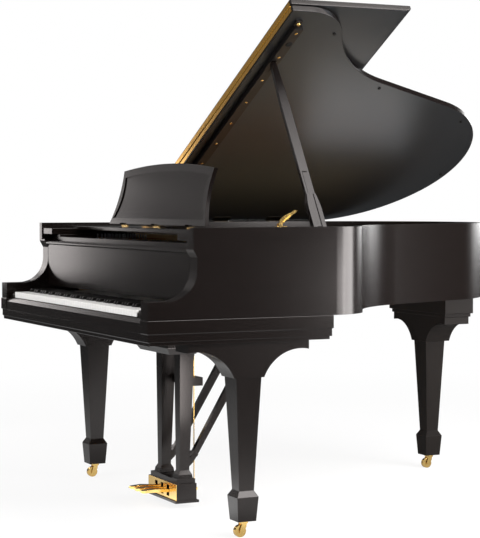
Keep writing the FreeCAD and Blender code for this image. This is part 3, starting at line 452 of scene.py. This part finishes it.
# Action: a hardwood frame that slides on the keybed, with the hammer rail over it. Each hammer has a shank
# and a moulding of birch, covered in white pressed felt.
dressed("action_frame", "action_rails", beam_beech, 0.0008)
BIRCH_PALE, BIRCH_DARK = (0.62, 0.45, 0.26, 1), (0.44, 0.29, 0.15, 1)
shank_birch = bare_wood("shank_birch", "spruce", BIRCH_PALE, BIRCH_DARK, (90.0, 8.0, 90.0))


def pressed_felt(name, pale, shade):
    finish, surface, place = new_finish(name, "felt")
    fibre = place.noise(520.0, 5.0)
    feed(surface, place, {"Base Color": fibre.between(shade, pale), "Roughness": 0.95, "Sheen Weight": 0.25,
                          "Specular IOR Level": 0.2}, fibre, 0.5, 0.0008)
    return finish


WOOL_PALE, WOOL_SHADE = (0.76, 0.73, 0.65, 1), (0.58, 0.54, 0.46, 1)
white_felt = pressed_felt("white_felt", WOOL_PALE, WOOL_SHADE)


def profile_block(name, outline, half, arris=0.0):
    # A flat outline in y and z, in mm of the keyboard's frame, thickened to both sides of x = 0
    work = bmesh.new()
    sides = []
    for x in (-half, half):
        sides.append([work.verts.new((x / 1000, y / 1000 + CASE_FRONT, z / 1000)) for y, z in outline])
    count = len(outline)
    work.faces.new(sides[0])
    work.faces.new(list(reversed(sides[1])))
    for k in range(count):
        work.faces.new((sides[0][(k + 1) % count], sides[0][k], sides[1][k], sides[1][(k + 1) % count]))
    bmesh.ops.recalc_face_normals(work, faces=work.faces)
    if arris:
        bmesh.ops.bevel(work, geom=work.edges, offset=arris / 1000, segments=1, affect="EDGES")
    mesh = bpy.data.meshes.new(name)
    work.to_mesh(mesh)
    work.free()
    return mesh


lanes = sorted(sum(p.x for p in points) / len(points) for points in islands("hammers"))
hammer_spots = [(x, 0.0, 0.0) for x in lanes]
felt_outline = [(461, 860), (459.5, 868), (463, 880), (468, 888), (472, 891.5), (476, 889), (482, 879),
                (486, 868), (485, 860)]
moulding_outline = [(464, 846), (462.5, 860.5), (483.5, 860.5), (489, 845), (488, 839), (470, 838.5),
                    (466, 841)]
shank_outline = [(340.5, 839.5), (340.5, 845.5), (467, 845.5), (467, 839.5)]
felt = profile_block("hammer_felt", felt_outline, 4.2)
moulding = profile_block("hammer_moulding", moulding_outline, 3.9)
shank = profile_block("hammer_shank", shank_outline, 2.7, 1.2)
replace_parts(set_out("hammer_felts", felt, hammer_spots, white_felt, "action"), "hammers")
set_out("hammer_mouldings", moulding, hammer_spots, shank_birch, "action")
set_out("hammer_shanks", shank, hammer_spots, shank_birch, "action")

# Dampers: black wooden heads with white felt under them that rest on the strings, on wires that go down to
# one lifting rail. The top 22 notes have none.
damper_lacquer = satin_lacquer("damper_lacquer", (300.0, 6.0, 300.0), gloss=0.34)
RAIL_FROM = 0.1
RAIL_ARRIS = 0.0012
STEM_GAUGE = 0.0011
BASS_FOOT_FROM = 0.944
WIRE_IN, WIRE_BACK, WIRE_TOP = 0.0012, 0.0015, 0.004
HEAD_HALF = 0.00515
HEAD_TOP, BASS_FOOT, TREBLE_FOOT = 968.0, 953.0, 935.0
head_spots = {True: [], False: []}
stem_lines = []
rail_points = None
for points in islands("dampers"):
    low = Vector((min(p.x for p in points), min(p.y for p in points), min(p.z for p in points)))
    high = Vector((max(p.x for p in points), max(p.y for p in points), max(p.z for p in points)))
    if high.x - low.x > RAIL_FROM:
        rail_points = (low, high)
        continue
    stem_x, stem_y = high.x - WIRE_IN, high.y - WIRE_BACK
    foot = min(p.z for p in points if p.y < low.y + END_FACE)
    head_spots[foot > BASS_FOOT_FROM].append((low.x + HEAD_HALF, 0.0, 0.0))
    stem_lines.append([(stem_x, stem_y, low.z), (stem_x, stem_y, high.z - WIRE_TOP)])
for bass, spots in head_spots.items():
    foot = BASS_FOOT if bass else TREBLE_FOOT
    wood_outline = [(494.5, foot + 6), (494.5, HEAD_TOP - 3), (497, HEAD_TOP), (511, HEAD_TOP),
                    (513.5, HEAD_TOP - 3), (513.5, foot + 6)]
    pad_outline = [(496, foot), (494.6, foot + 2), (494.6, foot + 6.2), (513.4, foot + 6.2),
                   (513.4, foot + 2), (512, foot)]
    wood = profile_block("damper_wood", wood_outline, 4.9, 0.8)
    pad = profile_block("damper_pad", pad_outline, 4.4)
    label = "bass" if bass else "treble"
    set_out("damper_heads_" + label, wood, spots, damper_lacquer, "dampers")
    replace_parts(set_out("damper_felts_" + label, pad, spots, white_felt, "dampers"), "dampers")
wire("damper_wires", stem_lines, STEM_GAUGE, 6, music_wire, "dampers")
low, high = rail_points
work = bmesh.new()
bmesh.ops.create_cube(work, size=1.0)
for v in work.verts:
    v.co = Vector(high[k] if v.co[k] > 0 else low[k] for k in range(3))
bmesh.ops.bevel(work, geom=work.edges, offset=RAIL_ARRIS, segments=2, affect="EDGES")
rail_mesh = bpy.data.meshes.new("damper_rail")
work.to_mesh(rail_mesh)
work.free()
rail = placed("damper_rail", rail_mesh, shank_birch)
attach(rail, "dampers")

# Keys: spruce levers on a balance rail, the white ones covered in polished acrylic and the black ones capped
# with satin ebony. They lie in three sections that dip together.
WHITE_TONE = (0.84, 0.835, 0.825, 1)
WHITE_SHADE = (0.78, 0.77, 0.75, 1)
key_white, surface, place = new_finish("key_white", "white_key")
faint = place.stretched((160.0, 9.0, 60.0)).noise(1.0, 2.0)
feed(surface, place, {"Base Color": faint.between(WHITE_SHADE, WHITE_TONE), "Roughness": faint * 0.08 + 0.18},
     faint, 0.02, 0.0002)
EBONY_DEEP, EBONY_WORN = (0.002, 0.0018, 0.0016, 1), (0.006, 0.0053, 0.005, 1)
key_black, surface, place = new_finish("key_black", "black_key")
ebony = place.stretched((500.0, 12.0, 500.0)).noise(1.0, 4.0)
feed(surface, place, {"Base Color": ebony.between(EBONY_DEEP, EBONY_WORN), "Roughness": ebony * 0.15 + 0.32,
                      "Specular IOR Level": 0.12}, ebony, 0.08, 0.0003)
for section in ("bass", "middle", "treble"):
    dressed("white_keys_" + section, "naturals_" + section, key_white, 0.0011)
    dressed("black_keys_" + section, "sharps_" + section, key_black, 0.0009)

# Fallboard: one lacquered board the width of the keys with a rounded lip along its top, turning down on two
# pins in the arms.
fall_lacquer = satin_lacquer("fall_lacquer", (3.0, 300.0, 520.0), gloss=0.20)
dressed("fallboard", "key_fall", fall_lacquer, 0.0015)

# Music tray and desk: a shelf between two end blocks that slides on rails let into the arms, with the leaning
# desk hinged to it on brass hinges and held up by one strut behind.
dressed("tray_rails", "tray_slides", bed_lacquer, 0.0012)
dressed("music_tray", "tray_shelf", fall_lacquer, 0.0018)
PANEL_DEPTH = 0.002
PANEL_FACING, FRONT_FACING, END_FACING = -0.5, -0.3, 0.6
PLAIN_LINES = (300.0, 300.0, 300.0)


def sink_panel(work):
    front = max((f for f in work.faces if f.normal.y < PANEL_FACING), key=lambda f: f.calc_area())
    bmesh.ops.translate(work, verts=front.verts, vec=-PANEL_DEPTH * front.normal)


desk = dressed("music_desk", "leaning_desk", fall_lacquer, 0.0016, 2, sink_panel)
desk.data.materials.append(satin_lacquer("border_lacquer", PLAIN_LINES, gloss=0.25, shine=0.62))
desk.data.materials.append(satin_lacquer("desk_end_lacquer", PLAIN_LINES, gloss=0.32, shine=0.06))
BORDER_SLOT, END_SLOT = 1, 2
fronts = [face for face in desk.data.polygons if face.normal.y < FRONT_FACING]
panel = max(fronts, key=lambda face: face.area)
for face in fronts:
    if (face.center - panel.center).dot(panel.normal) > 0.5 * PANEL_DEPTH:
        face.material_index = BORDER_SLOT
for face in desk.data.polygons:
    if abs(face.normal.x) > END_FACING:
        face.material_index = END_SLOT
dressed("desk_strut", "desk_prop", fall_lacquer, 0.0006)
BRASS_BRIGHT = (0.94, 0.67, 0.25, 1)
BRASS_DULL = (0.76, 0.48, 0.145, 1)
polished_brass = metal("polished_brass", "brass", BRASS_BRIGHT, BRASS_DULL, gloss=0.20,
                       lines=(40.0, 260.0, 260.0))
dressed("desk_hinges", "desk_butts", polished_brass, 0.0003)

# Lid: a wide veneered board standing open on its stick, with the front flap folded back on top of it on one
# long brass hinge. Both are lacquered inside and out.
# The lid and flap faces have a greyer copy of the rim's black lacquer, as painted light on the lid, that also
# mirrors more strongly and in the cool LID_TINT
LID_TINT = (0.62, 0.82, 0.98, 1)
lid_painted_light_lacquer = satin_lacquer("lid_painted_light_lacquer", (420.0, 3.0, 420.0), gloss=0.34, body=2.0, shine=0.8,
                            tint=LID_TINT)
LID_ANGLE = math.radians(28.84)
LID_FACE = Vector((math.sin(LID_ANGLE), 0.0, -math.cos(LID_ANGLE)))
FACE_FROM = 0.8


def black_edges(board):
    # The board's edges have the rim's own lacquer, its two faces the greyer lid copy that carries painted
    # light
    board.data.materials.append(rim_lacquer)
    for face in board.data.polygons:
        if abs(face.normal.dot(LID_FACE)) < FACE_FROM:
            face.material_index = 1


black_edges(dressed("main_lid", "raised_lid", lid_painted_light_lacquer, 0.0022, 3))
black_edges(dressed("front_flap", "folded_flap", lid_painted_light_lacquer, 0.0030, 3))
KNUCKLE_LINES = 26.0
OLD_GOLD, NEW_GOLD = (0.42, 0.21, 0.025, 1), (0.82, 0.47, 0.085, 1)
hinge_brass, surface, place = new_finish("long_hinge_brass", "brass")
joints = place.make("ShaderNodeTexWave", {"bands_direction": "X"}, {"Vector": place, "Scale": KNUCKLE_LINES})
rubbed = place.stretched((30.0, 300.0, 300.0)).noise(1.0)
feed(surface, place, {"Base Color": (joints * 0.6 + rubbed * 0.4).between(OLD_GOLD, NEW_GOLD),
                      "Metallic": 1.0, "Roughness": rubbed * 0.15 + 0.16}, joints, 0.15, 0.0006)
dressed("flap_hinge_lid_leaf", "long_hinge_lid_leaf", hinge_brass, 0.0002)
dressed("flap_hinge_flap_leaf", "long_hinge_flap_leaf", hinge_brass, 0.0002)
BRONZE_PALE, BRONZE_DARK = (0.060, 0.048, 0.036, 1), (0.030, 0.024, 0.019, 1)
bronzed_steel = metal("bronzed_steel", "brass", BRONZE_PALE, BRONZE_DARK, gloss=0.36)
dressed("lid_hinges_case", "lid_butts_case", bronzed_steel, 0.0003)
dressed("lid_hinges_lid", "lid_butts_lid", bronzed_steel, 0.0003)
# A black felt strip stands on the rim along the spine between the lid hinges and fills the gap under the
# lid's edge: painted shade
STRIP_FELT_PALE, STRIP_FELT_DARK = (0.016, 0.015, 0.014, 1), (0.006, 0.0055, 0.005, 1)
shade_strip_felt = pressed_felt("shade_strip_felt", STRIP_FELT_PALE, STRIP_FELT_DARK)
butt_ends = sorted(end for points in islands("lid_hinges_case")
                   for end in (min(p.y for p in points), max(p.y for p in points)))
STRIP_FRONT_GAP, STRIP_TAIL_GAP = 0.004, 0.42
lid_low, lid_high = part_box("main_lid")
strip_ends = [lid_low[1] + STRIP_FRONT_GAP] + butt_ends + [lid_high[1] - STRIP_TAIL_GAP]
STRIP_IN, STRIP_WIDE, STRIP_HIGH = 0.0036, 0.0075, 0.0064
work = bmesh.new()
for near, far in zip(strip_ends[0::2], strip_ends[1::2]):
    for v in bmesh.ops.create_cube(work, size=1.0)["verts"]:
        v.co = Vector((RIM_LOW[0] + STRIP_IN + STRIP_WIDE * (v.co.x + 0.5), far if v.co.y > 0 else near,
                       RIM_HIGH[2] + STRIP_HIGH * (v.co.z + 0.5)))
strip_mesh = bpy.data.meshes.new("spine_felt")
work.to_mesh(strip_mesh)
work.free()
strip = placed("spine_felt", strip_mesh, shade_strip_felt)
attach(strip, "case")
# The batten has its own copy of the lacquer, greyer than the rim's and darker than the lid's: painted light
# and shade that set it off from the lid
batten_painted_shade_lacquer = satin_lacquer("batten_painted_shade_lacquer", (6.0, 300.0, 300.0), gloss=0.30, body=1.4)
dressed("lid_bar", "lid_batten", batten_painted_shade_lacquer, 0.0016)
dressed("lid_screws", "batten_screws", polished_brass, 0.0004)
RUBBER_DEEP, RUBBER_BLOOM = (0.005, 0.005, 0.005, 1), (0.012, 0.012, 0.011, 1)
buffer_rubber, surface, place = new_finish("buffer_rubber", "rubber")
bloom = place.noise(160.0)
feed(surface, place, {"Base Color": bloom.between(RUBBER_DEEP, RUBBER_BLOOM), "Roughness": bloom * 0.2 + 0.6,
                      "Specular IOR Level": 0.15}, bloom, 0.1, 0.0004)
dressed("lid_buffers", "rubber_buffers", buffer_rubber, 0.0008)
LID_PIN = (-736.5, 0.0, 1014.0)
CUP_SPOT = (576.5, 661.0, 996.0)
SPRING_SPOT = (687.0, 648.0, 1005.0)


def on_lid(mesh, spot):
    # A shape made lying flat, set at its place on the shut lid in mm and raised with it
    for v in mesh.vertices:
        flat = (Vector(spot) - Vector(LID_PIN)) / 1000 + v.co
        v.co = Vector((flat.x * math.cos(LID_ANGLE) - flat.z * math.sin(LID_ANGLE), flat.y,
                       flat.x * math.sin(LID_ANGLE) + flat.z * math.cos(LID_ANGLE))) + at(*LID_PIN)
    return mesh


cup_mesh = on_lid(turned("half_stick_cup", [(10, -0.6), (13, -0.6), (13, 0.2), (10, 0.2)], 24), CUP_SPOT)
cup = placed("half_stick_cup", cup_mesh, buffer_rubber)
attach(cup, body_of("main_lid"))
spring_mesh = on_lid(turned("lock_spring", [(5, -7), (8, -4), (9, 0)], 4), SPRING_SPOT)
spring = placed("lock_spring", spring_mesh, polished_brass)
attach(spring, body_of("main_lid"))

# Lid stick: a lacquered maple prop on a pin in its bracket, with a short stick folded into it for the
# half-open lid. A brass catch on the rim keeps the lid shut.
stick_lacquer = satin_lacquer("stick_lacquer", (300.0, 300.0, 4.0), gloss=0.24, body=0.6, shine=0.2)
dressed("prop_stick", "lid_stick", stick_lacquer, 0.0016)
dressed("half_stick", "short_stick", stick_lacquer, 0.0010)
dressed("prop_bracket", "stick_bracket", stick_lacquer, 0.0010)
dressed("catch_base", "catch_plate", polished_brass, 0.0004)
dressed("catch_lever", "catch_arm", polished_brass, 0.0007)

# Lyre: two square posts between a head screwed under the keybed and the pedal box, with braces back to the
# case and three rods that go up to the action.
UPRIGHT_LINES = (380.0, 380.0, 3.0)
post_lacquer = satin_lacquer("post_lacquer", UPRIGHT_LINES, gloss=0.24, body=0.8)
dressed("lyre_head", "lyre_top", bed_lacquer, 0.0018)
dressed("lyre_posts", "lyre_columns", post_lacquer, 0.0018)
dressed("pedal_box", "pedal_chest", bed_lacquer, 0.0018)
dressed("lyre_braces", "slant_braces", post_lacquer, 0.0008)
dressed("pedal_plate", "pedal_face_plate", polished_brass, 0.0005)
for pedal in ("soft", "sostenuto", "damper"):
    dressed("pedal_" + pedal, "foot_" + pedal, polished_brass, 0.0022, 3)
    dressed("rod_" + pedal, "lift_rod_" + pedal, polished_brass, 0.0003)

# Legs and casters: tapered square legs with a spade foot, each on a brass fork caster that swivels on a stem
# in the foot.
# The rear leg has its own greyer, almost unmirroring copy of the lacquer as painted light on it; the front
# legs share the posts' lacquer
rear_leg_painted_light_lacquer = satin_lacquer("rear_leg_painted_light_lacquer", UPRIGHT_LINES, gloss=0.30, body=2.4, shine=0.03)
for leg in ("front_left", "front_right", "rear"):
    dressed("leg_" + leg, "tapered_leg_" + leg, rear_leg_painted_light_lacquer if leg == "rear" else post_lacquer, 0.0020)
    dressed("caster_fork_" + leg, "brass_fork_" + leg, polished_brass, 0.0009)
    dressed("caster_wheel_" + leg, "brass_wheel_" + leg, polished_brass, 0.0006)

# Room: a white seamless floor, large softboxes round the piano, small cards that show in single faces of the
# lacquer, and the camera where the photograph was taken from. What the lacquer mirrors of the floor is a
# painted
# reflection: an emission that is darker far off, with a painted pool of light under the treble side, clear of
# the caster there.
FLOOR_HALF = 60.0
FLOOR_PAINT, FLOOR_SPECK = (0.86, 0.86, 0.86, 1), (0.89, 0.89, 0.89, 1)
WHITE = (1, 1, 1, 1)
FRONT_OF_KEYS = (0.3, -1.8, 0.0)
TREBLE_SIDE = (0.70, -0.45, 0.0)


def rays(t):
    return [t.make("ShaderNodeLightPath", {}, {}, kind)
            for kind in ("Is Camera Ray", "Is Glossy Ray", "Is Transmission Ray")]


floor_mesh = bpy.data.meshes.new("studio_floor")
floor_corners = [(x * FLOOR_HALF, y * FLOOR_HALF, 0) for x, y in ((-1, -1), (1, -1), (1, 1), (-1, 1))]
floor_mesh.from_pydata(floor_corners, [], [(0, 1, 2, 3)])
floor_white = bpy.data.materials.new("floor_white")
floor_white.use_nodes = True
tree = floor_white.node_tree
tree.nodes.remove(tree.nodes["Principled BSDF"])
t = Tone(tree)
camera_ray, glint, passed = rays(t)
spot = t.make("ShaderNodeTexCoord", {}, {}, "Object")
paint = t.make("ShaderNodeBsdfDiffuse", {}, {"Color": spot.noise(3.0).between(FLOOR_PAINT, FLOOR_SPECK)})
glow = t.make("ShaderNodeEmission", {}, {"Color": WHITE, "Strength": 1.0})
whiter = spot.away_from((0.0, 0.0, 0.0)).eased(1.5, 5.0, 0.86, 1.0)
both = t.make("ShaderNodeMixShader", {}, {0: camera_ray * whiter, 1: paint, 2: glow})
# For glossy rays the floor glows as a painted reflection: brighter near the keys, darker far off, plus a
# painted pool of light by the treble side
painted_front_glow = spot.away_from(FRONT_OF_KEYS).eased(1.4, 4.2, 0.65, 0.08)
painted_treble_pool = spot.away_from(TREBLE_SIDE).eased(0.6, 1.15, 1.3, 0.0)
wheel_low, wheel_high = (Vector(corner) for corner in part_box("caster_wheel_front_right"))
clear = spot.away_from(tuple((wheel_low + wheel_high) / 2)).eased(0.16, 0.40, 0.0, 1.0)
painted_floor_reflection = t.make("ShaderNodeEmission", {}, {"Color": WHITE, "Strength": painted_front_glow + painted_treble_pool * clear})
whole = t.make("ShaderNodeMixShader", {}, {0: glint + passed, 1: both, 2: painted_floor_reflection})
tree.links.new(whole.out, tree.nodes["Material Output"].inputs["Surface"])
floor = bpy.data.objects.new("studio_floor", floor_mesh)
bpy.context.scene.collection.objects.link(floor)
floor_mesh.materials.append(floor_white)

SCREEN_WAY = (-0.47, 0.883, 0.0)
SCREEN_GLOW, DARK_ROOM, SKY_FILL = 7.0, 0.10, 0.45
world = bpy.data.worlds.new("studio")
bpy.context.scene.world = world
world.use_nodes = True
t = Tone(world.node_tree)
camera_ray, glint, passed = rays(t)
way = t.make("ShaderNodeTexCoord", {}, {}, "Generated")
behind = t.make("ShaderNodeVectorMath", {"operation": "DOT_PRODUCT"}, {0: way, 1: SCREEN_WAY}, "Value")
screen = behind.eased(0.90, 0.975, 0.0, SCREEN_GLOW)
low_down = t.make("ShaderNodeSeparateXYZ", {}, {0: way}, "Z").eased(0.10, 0.32, 1.0, 0.0)
in_lacquer = (glint + passed) * (screen * low_down + DARK_ROOM)
seen = camera_ray + in_lacquer + (1 - camera_ray - glint - passed) * SKY_FILL
world.node_tree.links.new(seen.out, world.node_tree.nodes["Background"].inputs["Strength"])
world.node_tree.nodes["Background"].inputs["Color"].default_value = WHITE

CARD_UNDER = 10.0
CARD_WARM, LAMP_WARM = (1.0, 0.945, 0.93), (1.0, 0.985, 0.98)
for name, spot, aim, size, watts in (
        ("front_left_softbox", (-2.32, -0.97, 1.0), (-0.6, -0.8, 0.9), (1.0, 0.56), 5.6),
        ("desk_card", (-2.4, -1.5, 1.9), (0.0, -0.6, 1.1), (1.0, 0.7), 0.6),
        ("desk_corner_card", (-2.4, -1.08, 1.40), (-0.4, -0.6, 1.05), (0.4, 0.36), 0.6),
        ("rim_side_softbox", (3.40, 2.16, 0.6), (0.74, -0.3, 0.8), (1.3, 0.5), 25.0),
        ("bend_softbox", (1.75, 1.79, 0.95), (0.72, -0.15, 0.9), (1.2, 1.3), 68.0),
        ("high_softbox", (3.0, 0.9, 3.4), (0.0, 0.0, 0.9), (2.4, 2.4), 240.0),
        ("front_softbox", (0.4, -4.2, 3.0), (0.0, -0.9, 0.8), (2.4, 1.6), 95.0),
        ("case_card", (-0.17, 0.55, 0.975), (-0.17, 0.55, 2.0), (0.36, 0.5), 0.7),
        ("lyre_card", (0.56, -0.42, 0.36), (0.1, -0.62, 0.40), (0.2, 0.24), 1.9),
        ("edge_softbox", (0.95, 0.9, 3.3), (0.9, 0.2, 0.6), (1.6, 2.6), 30.0)):
    lamp = bpy.data.lights.new(name, "AREA")
    lamp.shape = "RECTANGLE"
    lamp.size, lamp.size_y = size
    lamp.energy = watts
    lamp.color = CARD_WARM if watts < CARD_UNDER else LAMP_WARM
    stand = bpy.data.objects.new(name, lamp)
    stand.location = spot
    stand.visible_camera = False
    stand.rotation_euler = (Vector(aim) - Vector(spot)).to_track_quat("-Z", "Y").to_euler()
    bpy.context.scene.collection.objects.link(stand)

CAMERA_SPOT = (5553.98, -2020.52, 1088.24)
CAMERA_TURN = 1.11771
CAMERA_TIP = 0.03926
CAMERA_SHIFT = (-0.00202, -0.00068)
FOCAL_PIXELS, PHOTO_PIXELS, SENSOR_MM = 1676.78, 538, 36
camera = bpy.data.cameras.new("photo_camera")
camera.lens = FOCAL_PIXELS / PHOTO_PIXELS * SENSOR_MM
camera.shift_x, camera.shift_y = CAMERA_SHIFT
camera.dof.use_dof = False
tripod = bpy.data.objects.new("photo_camera", camera)
tripod.location = at(*CAMERA_SPOT)
tripod.rotation_euler = (math.pi / 2 - CAMERA_TIP, 0.0, CAMERA_TURN)
bpy.context.scene.collection.objects.link(tripod)
bpy.context.scene.camera = tripod
bpy.context.scene.view_settings.view_transform = "Standard"
